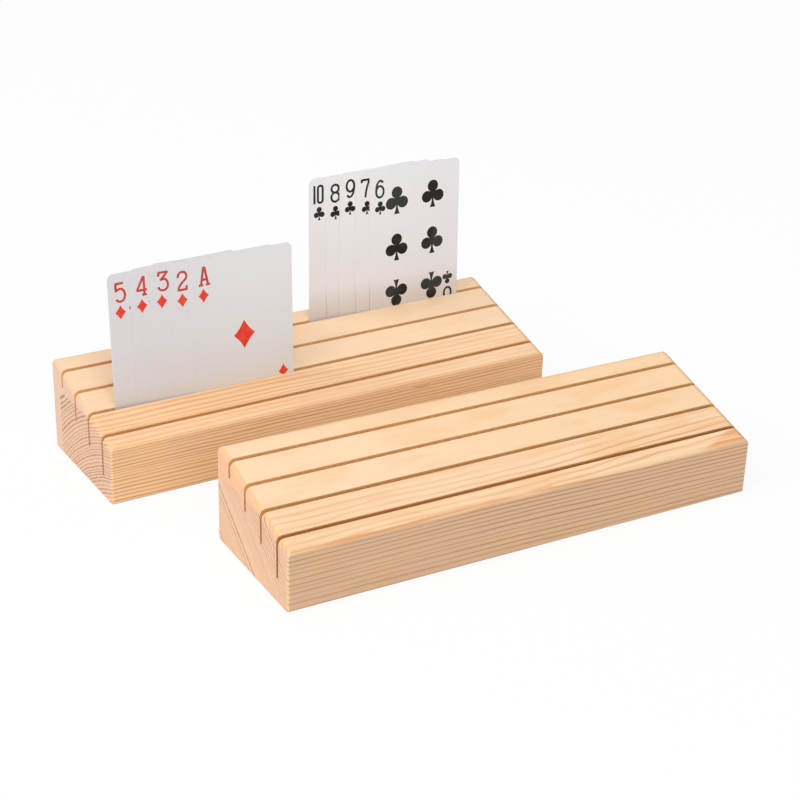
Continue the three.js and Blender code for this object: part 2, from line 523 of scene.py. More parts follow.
def pine(name, place, heart, wander, flutter, taper, seed, rings, strengths, late_wood,
         depth_shares, plain_back, knot_place, colours):
    """Pine for one block. rings lists how far from the heart each year's dark line lies; flutter is how
    much the lines quiver below and on the top; taper is how fast the log narrows towards the right end."""
    material, tree, surface = new_material(name)
    local = new_node(tree, "ShaderNodeMapping")
    home = place.inverted()
    local.inputs["Scale"].default_value = (1 / MM, 1 / MM, 1 / MM)
    local.inputs["Rotation"].default_value = home.to_euler()
    local.inputs["Location"].default_value = home.translation * (1 / MM)
    link(tree, new_node(tree, "ShaderNodeTexCoord").outputs["Object"], local.inputs["Vector"])
    spot = local.outputs[0]
    along, back, height = axes(tree, spot)

    # The years: how far from the heart, and which year that is
    flutter_here = between(tree, height, *FLUTTER_HEIGHT, *flutter)
    distance = shared(tree, GROWTH_RINGS, **{
        "Place": spot, "Heart Back": heart[0], "Heart Height": heart[1],
        "Wander": wander, "Flutter": flutter_here, "Seed": seed,
    })["Distance"]
    narrowing = maths(tree, "MAXIMUM", less(tree, along, TAPER_START), 0)
    distance = maths(tree, "MULTIPLY_ADD", narrowing, taper, distance)
    if knot_place:
        off_x, off_z = (maths(tree, "DIVIDE", less(tree, at, middle), reach)
                        for at, middle, reach in zip((along, height), knot_place, KNOT_REACH))
        knot = product(tree, between(tree, length_of(tree, off_x, off_z), *KNOT_FADE, 1, 0),
                       between(tree, back, *KNOT_BACK, 1, 0))
        distance = maths(tree, "ADD", distance, product(tree, knot, KNOT_BEND))
    count = curve_of(tree, distance, [(at, number) for number, at in enumerate(rings)], len(rings) - 1)

    to_right, to_back, upwards = face_axes(tree)
    to_side = unsigned(tree, to_right)
    to_front = product(tree, to_back, -1)
    end_grain = between(tree, to_side, *END_FACING)
    front_face = between(tree, to_front, *FRONT_FACING)
    top_face = between(tree, upwards, *TOP_FACING)

    # How dark the late wood is: fainter on the top, in its pale corner and at random on the ends
    starts, fulls = zip(late_wood["side"], late_wood["front"])
    late = shared(tree, LATE_WOOD, Count=count, Start=between(tree, front_face, 0, 1, *starts),
                  Full=between(tree, front_face, 0, 1, *fulls))["Late"]
    fibre = shared(tree, PINE_FIBRE, Place=spot)
    streaks = stretched_noise(tree, spot, STREAK_SIZE, detail=2, seed=seed + 5)
    pale_corner = product(tree, between(tree, back, *PALE_CORNER_BACK),
                          between(tree, along, *PALE_CORNER_SPAN))
    calm_top = product(tree, between(tree, along, *CALM_TOP_SPAN, *late_wood["top"]),
                       between(tree, back, *FIRST_STRIP_BACK, late_wood["first strip"], 1),
                       between(tree, pale_corner, 0, 1, 1, late_wood["pale corner"]))
    calm_front = between(tree, along, *CALM_FRONT_SPAN, late_wood["front left"], 1)
    chance = new_node(tree, "ShaderNodeTexWhiteNoise", noise_dimensions="1D")
    link(tree, maths(tree, "FLOOR", count), chance.inputs["W"])
    uneven_end = product(tree, between(tree, chance.outputs["Value"], *RING_CHANCE, *late_wood["end"]),
                         between(tree, back, *FAINT_RINGS_BACK, FAINT_RINGS_SHARE, 1))
    strength = product(tree, curve_of(tree, distance, strengths),
                       between(tree, top_face, 0, 1, 1, calm_top),
                       between(tree, front_face, 0, 1, 1, calm_front),
                       between(tree, end_grain, 0, 1, 1, uneven_end),
                       between(tree, streaks, *STREAKS, *STREAK_FACTORS))

    # The top board is plain behind the second slot, and so is the back strip of one block
    plain = product(tree, between(tree, height, *BOARD_HEIGHT), between(tree, back, *BOARD_BACK))
    if plain_back:
        plain = maths(tree, "MAXIMUM", plain, between(tree, back, *PLAIN_STRIP_BACK))
    marked = flipped(tree, product(tree, plain, PLAIN_SHARE))
    late_share = maths(tree, "MULTIPLY", product(tree, late, strength), marked, clamp=True)

    # Colour of the early wood on the top, the ends and the front. The front's darker colours, and in part
    # the ends', are painted shade for how the light falls on each face; the rest of the ends' colour is
    # their end grain's own
    front_board = product(tree, between(tree, back, *BOARD_BACK, 1, 0),
                          between(tree, along, *BOARD_COLOUR_SPAN, 1, BOARD_RIGHT_SHARE))
    # Painted falloff of the light: the top's colour shifts towards its top right colour at the right end
    rightwards = between(tree, along, *TOP_COLOUR_SPAN)
    top = blend_colour(tree, rightwards, colours["top"], colours["top right"])
    top = blend_colour(tree, front_board, top, colours["board"])
    cloud = between(tree, fibre["Cloud"], *FRONT_CLOUDS)
    front = blend_colour(tree, cloud, colours["front"], colours["front warm"])
    early = blend_colour(tree, end_grain, top, colours["end"])
    early = blend_colour(tree, front_face, early, front)
    early = blend_colour(tree, product(tree, plain, end_grain), early, colours["end plain"])
    lengthwise = product(tree, flipped(tree, end_grain), flipped(tree, front_face))
    cloudy = product(tree, between(tree, fibre["Cloud"], *TOP_CLOUDS), lengthwise,
                     between(tree, along, *CLOUD_SPAN, CLOUD_LEFT_SHARE, 1))
    early = blend_colour(tree, cloudy, early, colours["warm"])
    flame = between(tree, stretched_noise(tree, spot, FLAME_SIZE, detail=1, seed=seed + 9), *FLAMES)
    flame = product(tree, flame, lengthwise, marked, FLAME_SHARE)
    early = blend_colour(tree, flame, early, colours["flame"])

    # The rounded left and right ends of the top are browner, as painted shade where they face the lamp, and
    # the rounded front edge yellower, as painted light and shade between the top's and the front's colours
    rounded_end = product(tree, between(tree, to_side, *ROUNDED_END_FACING),
                          between(tree, to_side, *PAST_ROUNDED_END, 1, 0),
                          between(tree, upwards, *ROUNDED_END_TOP), ROUNDED_END_SHARE)
    early = blend_colour(tree, rounded_end, early, colours["turned"])
    rounded_front = product(tree, between(tree, to_front, *ROUNDED_FRONT_FACING),
                            between(tree, to_front, *PAST_ROUNDED_FRONT, 1, 0), ROUNDED_FRONT_SHARE)
    early = blend_colour(tree, rounded_front, early, colours["edge"])

    # Painted shade: the late wood also gets a darker colour on the front, and on the ends partly for their
    # end grain
    dark = blend_colour(tree, end_grain, colours["late"], colours["end late"])
    dark = blend_colour(tree, front_face, dark, colours["front late"])
    colour = blend_colour(tree, late_share, early, dark)
    if knot_place:
        colour = blend_colour(tree, product(tree, knot, KNOT_SHARE), colour, colours["knot"])

    # Orange patches where the front edge's rounding runs along a ring, and a streaky wedge at its right
    for start, end, reach, share in colours["edge patches"]:
        middle = (start + end) / 2
        width = between(tree, along, start, end, PATCH_START_WIDTH, reach)
        patch = product(tree, between(tree, back, product(tree, width, PATCH_FULL_SHARE), width, 1, 0),
                        between(tree, height, *PATCH_HEIGHT), between(tree, along, start, middle),
                        between(tree, streaks, *PATCH_STREAKS, *PATCH_FACTORS), share)
        if end < BLOCK_LENGTH / MM:
            patch = product(tree, patch, between(tree, along, middle, end, 1, 0))
        colour = blend_colour(tree, patch, colour, colours["resin"])

    calm_end = flipped(tree, product(tree, end_grain, END_CALM_SHARE))
    fibrous = product(tree, less(tree, fibre["Fibre"], 0.5), calm_end,
                      flipped(tree, product(tree, plain, PLAIN_CALM_SHARE)))
    colour = shaded(tree, colour, between(tree, fibrous, *FIBRES, *FIBRE_FACTORS))
    colour = blend_colour(tree, product(tree, fibre["Pore"], calm_end, PORE_SHARE), colour, colours["late"])
    # Painted shade: the wood darkens over its lowest 1.3 mm above the table, as a contact shadow
    colour = shaded(tree, colour, between(tree, height, *SHADED_FOOT_HEIGHT, SHADED_FOOT_SHARE, 1))

    # Painted shade in the slots: their walls blend towards a browner colour, partly the sawn wood's own and
    # partly painted shade, the more the deeper in, less near the open ends as painted light entering there,
    # most of all in the front slot, and darker towards the right end
    rise = (BACK_HEIGHT - FRONT_HEIGHT) / BLOCK_DEPTH
    top_height = maths(tree, "MULTIPLY_ADD", back, rise, FRONT_HEIGHT / MM)
    from_end = maths(tree, "MINIMUM", along, less(tree, BLOCK_LENGTH / MM, along))
    deep = product(tree, between(tree, less(tree, top_height, height), *SLOT_SHADE_DEPTH, *SLOT_SHADE_SHARES),
                   between(tree, from_end, *SLOT_SHADE_FROM_END, SLOT_SHADE_END_SHARE, 1))
    saw_noise = stretched_noise(tree, spot, SAW_MARK_SIZE, detail=1, seed=2)
    saw_marks_and_shade = product(tree, between(tree, saw_noise, *SAW_MARKS, *SAW_MARK_FACTORS),
                        between(tree, along, *DARK_SLOT_SPAN, 1, DARK_SLOT_SHARE))
    for slot_back, share, sawn_and_shaded in zip(SLOT_BACKS, depth_shares, colours["sawn_and_shaded"]):
        from_middle = unsigned(tree, less(tree, back, slot_back / MM))
        walls = [SLOT_WIDTH / MM / 2 + slack for slack in WALL_SLACK]
        floors = [slot_floor(slot_back, share) / MM + slack for slack in FLOOR_SLACK]
        wall = product(tree, between(tree, from_middle, *walls, 1, 0), between(tree, height, *floors), deep)
        colour = blend_colour(tree, wall, colour, shaded(tree, sawn_and_shaded, saw_marks_and_shade))
    link(tree, colour, surface["Base Color"])

    rough = maths(tree, "MULTIPLY_ADD", fibre["Fibre"], FIBRE_ROUGHNESS, PINE_ROUGHNESS)
    link(tree, maths(tree, "MULTIPLY_ADD", end_grain, END_ROUGHNESS, rough), surface["Roughness"])
    relief = maths(tree, "MULTIPLY_ADD", fibrous, FIBRE_RELIEF, product(tree, late_share, LATE_RELIEF))
    add_bump(tree, surface, relief, strength=0.12, distance=0.12 * MM)
    surface["Specular IOR Level"].default_value = 0.35
    return material


# Card and ink: the back's margin is in millimetres, its lattice in radians per millimetre
BACK_MARGIN = 3.4
PRINT_SOFTNESS = 0.1
LATTICE_RATE = 1.25
LATTICE_LINE = (0.16, 0.26)
BACK_FACING = (0.6, 0.7)
CUT_EDGE_FACING = (0.4, 0.7)
WEAVE_SIZE = (0.6 * MM, 0.6 * MM, 0.6 * MM)
WEAVE, WEAVE_FACTORS, CARD_ROUGHNESS = (0.3, 0.7), (0.985, 1.01), (0.34, 0.44)
HIDDEN_FOOT = 5 * MM
FOOT_SHARE = 0.8
EDGE_SHADE_SPAN = (2 * MM, 26 * MM)
WORN_INK, INK_GLOSS_PATCHES, INK_ROUGHNESS = (0.42, 0.6), (0.3, 0.7), (0.36, 0.46)
CARD_BACK_RED = (0.45, 0.035, 0.03)


def card_stock(name, left, right, left_at, right_at, slot_back, painted_bounce_and_shade, foot_reach, edge_shades):
    """Coated card, its white running from one tone at the left of the fan to another at the right, with
    painted shade and bounce light near the slot and painted shade on its cut edges.
    """
    material, tree, surface = new_material(name)
    where = new_node(tree, "ShaderNodeTexCoord").outputs
    to_back = face_axes(tree)["Y"]

    # The back is a plain lattice inside a white margin
    spread = [product(tree, less(tree, share, 0.5), size / MM)
              for share, size in zip(axes(tree, where["UV"]), (CARD_WIDTH, CARD_HEIGHT))]
    printed = between(tree, to_back, *BACK_FACING)
    for place, size in zip(spread, (CARD_WIDTH, CARD_HEIGHT)):
        rim = size / MM / 2 - BACK_MARGIN
        inside = between(tree, unsigned(tree, place), rim, rim + PRINT_SOFTNESS, 1, 0)
        printed = product(tree, printed, inside)
    lines = [unsigned(tree, maths(tree, "SINE", product(tree, maths(tree, way, *spread), LATTICE_RATE)))
             for way in ("ADD", "SUBTRACT")]
    printed = product(tree, printed, between(tree, maths(tree, "MINIMUM", *lines), *LATTICE_LINE))

    spot = axes(tree, where["Object"])
    weave = stretched_noise(tree, where["Object"], WEAVE_SIZE, detail=2)
    paper = blend_colour(tree, between(tree, spot["X"], left_at, right_at), left, right)
    paper = shaded(tree, paper, between(tree, weave, *WEAVE, *WEAVE_FACTORS))
    above_slot = less(tree, spot["Z"], top_at(slot_back))
    # Painted shade and bounce light from the wood: near the slot's lip the card is multiplied by a darker,
    # warmer tone, fading out over the reach above the lip and over the hidden foot below it
    foot = product(tree, between(tree, above_slot, 0, foot_reach, FOOT_SHARE, 0),
                   between(tree, above_slot, -HIDDEN_FOOT, 0))
    paper = blend_colour(tree, foot, paper, painted_bounce_and_shade, "MULTIPLY")
    # Painted shade on the cut edges: they are multiplied by a darker tone near the slot's lip and a paler
    # one beyond the span
    cut_edge = between(tree, unsigned(tree, to_back), *CUT_EDGE_FACING, 1, 0)
    from_slot = unsigned(tree, above_slot)
    edge_shade = blend_colour(tree, between(tree, from_slot, *EDGE_SHADE_SPAN), *edge_shades)
    paper = blend_colour(tree, cut_edge, paper, edge_shade, "MULTIPLY")
    link(tree, blend_colour(tree, printed, paper, CARD_BACK_RED), surface["Base Color"])
    link(tree, between(tree, weave, *WEAVE, *CARD_ROUGHNESS), surface["Roughness"])
    surface["Specular IOR Level"].default_value = 0.4
    add_bump(tree, surface, weave, strength=0.05, distance=0.05 * MM)
    return material


def ink(name, full, worn, patch_size, gloss):
    material, tree, surface = new_material(name)
    where = new_node(tree, "ShaderNodeTexCoord").outputs["Object"]
    patch = stretched_noise(tree, where, (patch_size,) * 3, detail=2, roughness=0.6)
    link(tree, blend_colour(tree, between(tree, patch, *WORN_INK), full, worn), surface["Base Color"])
    link(tree, between(tree, patch, *INK_GLOSS_PATCHES, *INK_ROUGHNESS), surface["Roughness"])
    surface["Specular IOR Level"].default_value = gloss
    return material


# Painted shade and bounce light: the warm tone after the slot's place darkens each card near the slot's
# lip, and the last pair darkens its cut edges as painted shade
DIAMOND_STOCK = card_stock("card stock of the diamonds", (0.68, 0.67, 0.695), (0.745, 0.76, 0.78),
                           rear_low.x + 15 * MM, rear_low.x + 105 * MM, SLOT_BACKS[1],
                           (0.97, 0.92, 0.85), 10 * MM, ((0.96, 0.955, 0.95), (1.0, 1.0, 1.0)))
CLUB_STOCK = card_stock("card stock of the clubs", (0.83, 0.84, 0.87), (0.79, 0.79, 0.82),
                        rear_low.x + 150 * MM, rear_low.x + 235 * MM, SLOT_BACKS[3],
                        (0.78, 0.71, 0.62), 20 * MM, ((0.66, 0.59, 0.53), (0.92, 0.92, 0.93)))
PIP_RED = ink("red ink", (0.73, 0.045, 0.026), (0.81, 0.07, 0.038), 4 * MM, 0.3)
NUMBER_RED = ink("deep red ink", (0.50, 0.045, 0.042), (0.57, 0.065, 0.06), 4 * MM, 0.3)
BLACK_INK = ink("black ink", (0.012, 0.009, 0.005), (0.034, 0.037, 0.037), 22 * MM, 0.22)

REAR_PINE = pine(
    "pine of the rear holder",
    Matrix.Translation(rear_low),
    heart=(-30, -90), wander=0.35, flutter=(1.0, 1.0), taper=0, seed=40,
    rings=[95, 97, 99, 101, 103, 105, 107.2, 108.8, 110.4, 111.8, 113, 114.8, 116.6, 118.6, 120.4,
           121.8, 123.2, 124.6, 126.4, 128, 129.6, 131.2, 132.6, 134.2, 136.4, 138.4, 140.6, 142.6,
           144.8, 146.4, 147.8, 150, 152, 155],
    strengths=[(95, 0.85), (108, 0.9), (118, 0.85), (124, 0.7), (134, 0.9), (142, 1), (155, 1)],
    late_wood={"side": (0.34, 0.68), "front": (0.4, 0.85), "top": (0.9, 0.45), "first strip": 0.85,
               "front left": 1, "pale corner": 1, "end": (0.6, 1.1)},
    depth_shares=REAR_DEPTH_SHARES,
    plain_back=True,
    knot_place=(178, 26.5),
    colours={
        # Painted shade and light: the front, end, turned and edge colours stand partly for how the light
        # falls on each face, and the sawn colours partly for shade in the slots
        "top": (0.885, 0.64, 0.42), "top right": (0.885, 0.64, 0.42), "board": (0.85, 0.575, 0.35),
        "warm": (0.88, 0.61, 0.38), "flame": (0.84, 0.49, 0.25), "turned": (0.79, 0.50, 0.285),
        "edge": (0.80, 0.53, 0.30), "late": (0.80, 0.375, 0.145),
        "end": (0.72, 0.47, 0.325), "end late": (0.41, 0.215, 0.125), "end plain": (0.71, 0.48, 0.345),
        "front": (0.81, 0.525, 0.30), "front warm": (0.81, 0.52, 0.285), "front late": (0.56, 0.28, 0.115),
        "knot": (0.58, 0.26, 0.08),
        "sawn_and_shaded": [(0.70, 0.31, 0.09), (0.71, 0.37, 0.13), (0.82, 0.46, 0.165), (0.82, 0.45, 0.18)],
        "edge patches": [],
    },
)
front_centre = (front_low + front_high) / 2
FRONT_PLACE = (
    Matrix.Translation((front_centre.x, front_centre.y, 0))
    @ Matrix.Rotation(FRONT_TURN, 4, "Z")
    @ Matrix.Translation((-BLOCK_LENGTH / 2, -BLOCK_DEPTH / 2, 0))
)
FRONT_PINE = pine(
    "pine of the front holder",
    FRONT_PLACE,
    heart=(395, -440), wander=0.3, flutter=(0.5, 1.7), taper=0.0125, seed=0,
    rings=[546, 549.8, 552.8, 556.6, 558.8, 561.2, 563.8, 566.6, 570.2, 579.6, 581.6, 584.4, 586.6,
           589.8, 592, 594.5, 596.3, 598.5, 600.2, 601.6, 603.8, 606, 607.6, 609.2, 610.9, 612.5, 614, 616],
    strengths=[(546, 0.7), (552.8, 0.7), (556, 0.25), (562, 0.4), (570.2, 1), (572, 0.12), (579, 0.12),
               (581, 0.45), (590, 0.6), (596, 0.8), (604, 0.95), (616, 1)],
    late_wood={"side": (0.5, 0.85), "front": (0.55, 0.88), "top": (0.32, 0.66), "first strip": 0.9,
               "front left": 0.8, "pale corner": 0.25, "end": (0.55, 1.1)},
    depth_shares=FRONT_DEPTH_SHARES,
    plain_back=False,
    knot_place=None,
    colours={
        # Painted shade and light: the front, end, turned and edge colours stand partly for how the light
        # falls on each face, the sawn colours partly for shade in the slots, and top right for the light
        # falling off towards the right
        "top": (0.89, 0.64, 0.415), "top right": (0.88, 0.615, 0.38), "board": (0.88, 0.62, 0.395),
        "warm": (0.865, 0.56, 0.31), "flame": (0.83, 0.47, 0.25), "turned": (0.76, 0.455, 0.22),
        "edge": (0.76, 0.53, 0.30), "late": (0.68, 0.315, 0.13),
        "end": (0.745, 0.475, 0.308), "end late": (0.40, 0.20, 0.125), "end plain": (0.79, 0.465, 0.28),
        "front": (0.625, 0.405, 0.265), "front warm": (0.625, 0.412, 0.248),
        "front late": (0.43, 0.215, 0.085),
        "sawn_and_shaded": [(0.53, 0.19, 0.03), (0.68, 0.33, 0.087), (0.78, 0.39, 0.11), (0.80, 0.41, 0.12)],
        "resin": (0.72, 0.30, 0.10),
        "edge patches": [(8, 50, 3.2, 0.55), (84, 120, 3.2, 0.45), (225, 258, 12, 0.95)],
    },
)

pine_holder("rear_holder", REAR_DEPTH_SHARES, Matrix.Translation(rear_low), REAR_PINE)
pine_holder("front_holder", FRONT_DEPTH_SHARES, FRONT_PLACE, FRONT_PINE)


# Print of the cards. Each number is a width in millimetres and strokes whose points are shares of the
# number's width and height.

def bow(centre_x, centre_y, reach_x, reach_y, start, end, steps):
    """Points of an oval's arc, from one angle to another in degrees, anticlockwise when end is larger."""
    points = []
    for step in range(steps + 1):
        angle = math.radians(start + (end - start) * step / steps)
        points.append((centre_x + reach_x * math.cos(angle), centre_y + reach_y * math.sin(angle)))
    return points


def half_turned(strokes):
    return [[(1 - x, 1 - y) for x, y in stroke] for stroke in strokes]


SIX = [
    bow(0.5, 0.34, 0.5, 0.34, 0, 360, 28),
    [(0, 0.34), (0.01, 0.48), (0.05, 0.64), (0.14, 0.8), (0.27, 0.92), (0.43, 0.985), (0.6, 1),
     (0.76, 0.96), (0.92, 0.86)],
]
NUMBERS = {
    "5": (4.8, [[(-0.05, 1), (0.86, 1)], [(0.02, 1.02), (0.03, 0.56)],
                [(0.03, 0.57), (0.13, 0.64), (0.3, 0.69), (0.5, 0.705), (0.7, 0.68), (0.87, 0.59),
                 (0.97, 0.46), (1, 0.34), (0.97, 0.21), (0.87, 0.1), (0.72, 0.03), (0.5, 0), (0.3, 0.01),
                 (0.15, 0.06), (0.04, 0.15)]]),
    "4": (5.0, [[(0.7, 1.02), (-0.02, 0.26)], [(-0.06, 0.27), (1.04, 0.27)], [(0.74, 1.04), (0.76, 0)],
                [(0.52, 0), (1, 0)]]),
    "3": (5.2, [[(-0.06, 1), (0.97, 1)], [(0, 1.02), (0.02, 0.79)], [(0.93, 1.01), (0.2, 0.56)],
                [(0.24, 0.58), (0.42, 0.625), (0.62, 0.625), (0.82, 0.56), (0.95, 0.43), (1, 0.28),
                 (0.96, 0.16), (0.84, 0.06), (0.64, 0.005), (0.42, 0), (0.22, 0.04), (0.08, 0.12),
                 (0, 0.21)]]),
    "2": (4.75, [[(0, 0.7), (0.02, 0.8), (0.1, 0.91), (0.26, 0.98), (0.48, 1), (0.72, 0.98), (0.9, 0.9),
                  (1, 0.78), (0.98, 0.68), (0.88, 0.58), (0.66, 0.48), (0.42, 0.37), (0.2, 0.23),
                  (0.08, 0.1), (0.03, -0.02)],
                 [(-0.04, 0), (1.05, 0)], [(0.99, -0.04), (0.97, 0.21)]]),
    "A": (5.7, [[(0.45, 1.03), (0.17, 0)], [(0.53, 1.03), (0.84, 0)], [(0.25, 0.3), (0.76, 0.3)],
                [(-0.04, 0), (0.38, 0)], [(0.62, 0), (1.05, 0)]]),
    "10": (4.95, [[(0, 1.04), (0, -0.04)],
                  bow(0.71, 0.86, 0.29, 0.14, 180, 0, 14) + bow(0.71, 0.14, 0.29, 0.14, 0, -180, 14)
                  + [(0.42, 0.86)]]),
    "8": (4.8, [bow(0.5, 0.77, 0.46, 0.23, 0, 360, 26), bow(0.5, 0.27, 0.5, 0.27, 0, 360, 28)]),
    "7": (4.95, [[(-0.06, 1), (1.05, 1)], [(0, 1.02), (0.02, 0.84)],
                 [(0.99, 1.01), (0.84, 0.82), (0.68, 0.56), (0.55, 0.28), (0.47, -0.05)]]),
    "6": (4.65, SIX),
    "9": (4.65, half_turned(SIX)),
}


def written_strokes(strokes, width, height, stroke):
    """Ribbons of ink for one number, centred on the origin in the plane of x and y."""
    line = bpy.data.curves.new("strokes", "CURVE")
    line.dimensions = "3D"
    line.bevel_depth = stroke / 2
    line.bevel_resolution = 2
    line.use_fill_caps = True
    for points in strokes:
        spline = line.splines.new("POLY")
        spline.points.add(len(points) - 1)
        for point, (x, y) in zip(spline.points, points):
            point.co = ((x - 0.5) * width, (y - 0.5) * height, 0, 1)
    return line


def filled_outline(outline):
    """A flat filled shape from a closed outline in the plane of x and y."""
    shape = bpy.data.curves.new("outline", "CURVE")
    shape.dimensions = "2D"
    shape.fill_mode = "BOTH"
    shape.extrude = INK_THICKNESS / 2
    spline = shape.splines.new("POLY")
    spline.points.add(len(outline) - 1)
    for point, (x, y) in zip(spline.points, outline):
        point.co = (x, y, 0, 1)
    spline.use_cyclic_u = True
    return shape


def diamond_outline(width, height):
    """A diamond with slightly hollow sides."""
    steps_per_side, hollow_share = 6, 0.1
    corners = [(width / 2, 0), (0, height / 2), (-width / 2, 0), (0, -height / 2)]
    tips = [Vector(corner) for corner in corners]
    points = []
    for start, end in zip(tips, tips[1:] + tips[:1]):
        for step in range(steps_per_side):
            share = step / steps_per_side
            point = start.lerp(end, share)
            points.append(point * (1 - hollow_share * math.sin(math.pi * share)))
    return [(p.x, p.y) for p in points]


def club_outline(width, height):
    """Three round leaves about a small heart, and a stem that flares towards its foot."""
    leaf_share, heart_share, side_leaf_drop_share = 0.238, 0.16, 0.09
    stem_neck_share, stem_flare_share, stem_top_share, stem_length_share = 0.04, 0.09, 0.18, 0.32
    leaf_steps, stem_steps = 30, 8
    leaf = width * leaf_share
    rounds = [
        (Vector((0, height / 2 - leaf)), leaf, 90, -60),
        (Vector((0, 0)), width * heart_share, 80, 0),
        (Vector((width / 2 - leaf, -height * side_leaf_drop_share)), leaf, 170, -170),
    ]
    half = []
    for centre, radius, start, end in rounds:
        for place in bow(centre.x, centre.y, radius, radius, start, end, leaf_steps):
            point = Vector(place)
            # Only what lies outside the other rounds, give or take a hair, is outline
            if all((point - other).length > 0.999 * reach for other, reach, first, last in rounds):
                half.append(place)
    for step in range(stem_steps + 1):
        share = step / stem_steps
        half.append((width * (stem_neck_share + stem_flare_share * share ** 2),
                     -height * (stem_top_share + stem_length_share * share)))
    return half + [(-x, y) for x, y in reversed(half[1:])]


def printed_piece(data, place, material, flattening=1):
    """Turns a curve into ink that lies on a card's face, at a place in the card's own frame."""
    deselect_everything()
    shown = bpy.data.objects.new("print", data)
    bpy.context.scene.collection.objects.link(shown)
    make_active(shown)
    bpy.ops.object.convert(target="MESH")
    mesh = shown.data
    mesh.transform(Matrix.Diagonal((1, 1, flattening, 1)))
    mesh.transform(place @ Matrix.Rotation(math.radians(90), 4, "X"))
    mesh.materials.clear()
    mesh.materials.append(material)
    bpy.ops.object.shade_flat()
    return shown


def pip_places(count):
    """Places of the large pips for a card of that many, in columns and rows."""
    rows = {
        1: ([], [0]), 2: ([], [1, -1]), 3: ([], [1, 0, -1]), 4: ([1, -1], []), 5: ([1, -1], [0]),
        6: ([1, 0, -1], []), 7: ([1, 0, -1], [0.5]), 8: ([1, 0, -1], [0.5, -0.5]),
        9: ([1, 1 / 3, -1 / 3, -1], [0]), 10: ([1, 1 / 3, -1 / 3, -1], [2 / 3, -2 / 3]),
    }
    sides, middle = rows[count]
    places = [(side * PIP_COLUMN, row * PIP_ROW) for row in sides for side in (-1, 1)]
    return places + [(0, row * PIP_ROW) for row in middle]


def card_blank(name):
    """A card with rounded corners, standing with its centre at the origin and its face towards -Y."""
    deselect_everything()
    bpy.ops.mesh.primitive_plane_add(size=1, location=(0, 0, 0))
    blank = bpy.context.object
    blank.name = name
    blank.scale = (CARD_WIDTH, CARD_HEIGHT, 1)
    apply_size()
    bpy.ops.object.mode_set(mode="EDIT")
    bpy.ops.mesh.select_all(action="SELECT")
    bpy.ops.mesh.bevel(offset=CARD_CORNER, segments=CARD_CORNER_STEPS, affect="VERTICES")
    bpy.ops.mesh.select_all(action="SELECT")
    bpy.ops.mesh.extrude_region_move(TRANSFORM_OT_translate={"value": (0, 0, CARD_THICKNESS)})
    bpy.ops.mesh.select_all(action="SELECT")
    bpy.ops.mesh.normals_make_consistent(inside=False)
    bpy.ops.object.mode_set(mode="OBJECT")
    upright = Matrix.Rotation(math.radians(90), 4, "X")
    blank.data.transform(Matrix.Translation((0, CARD_THICKNESS / 2, 0)) @ upright)
    return blank


def card_prints(index, count, centre, index_place, pip_place, diamonds):
    """All the ink of one card: indices and small pips at two corners and the large pips between."""
    if diamonds:
        colour, number_colour = PIP_RED, NUMBER_RED
        small, large = diamond_outline(*SMALL_DIAMOND), diamond_outline(*LARGE_DIAMOND)
    else:
        colour, number_colour = BLACK_INK, BLACK_INK
        small, large = club_outline(*SMALL_CLUB), club_outline(*LARGE_CLUB)
    width, strokes = NUMBERS[index]
    middle = Matrix.Translation((centre[0] * MM, -CARD_THICKNESS / 2, centre[1] * MM))
    upside_down = Matrix.Rotation(math.pi, 4, "Y")

    def spot(place):
        return Matrix.Translation(((place[0] - centre[0]) * MM, 0, (place[1] - centre[1]) * MM))

    made = []
    for turn in (Matrix(), upside_down):
        written = written_strokes(strokes, width * MM, INDEX_HEIGHT, INDEX_STROKE)
        made.append(printed_piece(written, middle @ turn @ spot(index_place), number_colour,
                                  INK_THICKNESS / INDEX_STROKE))
        made.append(printed_piece(filled_outline(small), middle @ turn @ spot(pip_place), colour))
    for x, z in pip_places(count):
        turn = upside_down if z < -MM else Matrix()
        place = middle @ Matrix.Translation((x, 0, z)) @ turn
        made.append(printed_piece(filled_outline(large), place, colour))
    return made


def playing_card(node, index, count, lean, centre, index_place, pip_place, diamonds):
    """One card with its print, placed and leaned as its CAD solid is."""
    card = card_blank(node + "_card")
    card.data.materials.append(DIAMOND_STOCK if diamonds else CLUB_STOCK)
    prints = card_prints(index, count, centre, index_place, pip_place, diamonds)
    deselect_everything()
    for piece in prints:
        piece.select_set(True)
    card.select_set(True)
    bpy.context.view_layer.objects.active = card
    bpy.ops.object.join()
    if not card.data.uv_layers:
        card.data.uv_layers.new(name="sheet")
    sheet = card.data.uv_layers[0]
    for loop in card.data.loops:
        corner = card.data.vertices[loop.vertex_index].co
        sheet.data[loop.index].uv = (corner.x / CARD_WIDTH + 0.5, corner.z / CARD_HEIGHT + 0.5)
    low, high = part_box(node)
    leaned = Matrix.Rotation(-math.radians(lean), 4, "Y")
    card.data.transform(Matrix.Translation((low + high) / 2) @ leaned)
    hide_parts(node)
    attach(card, node)


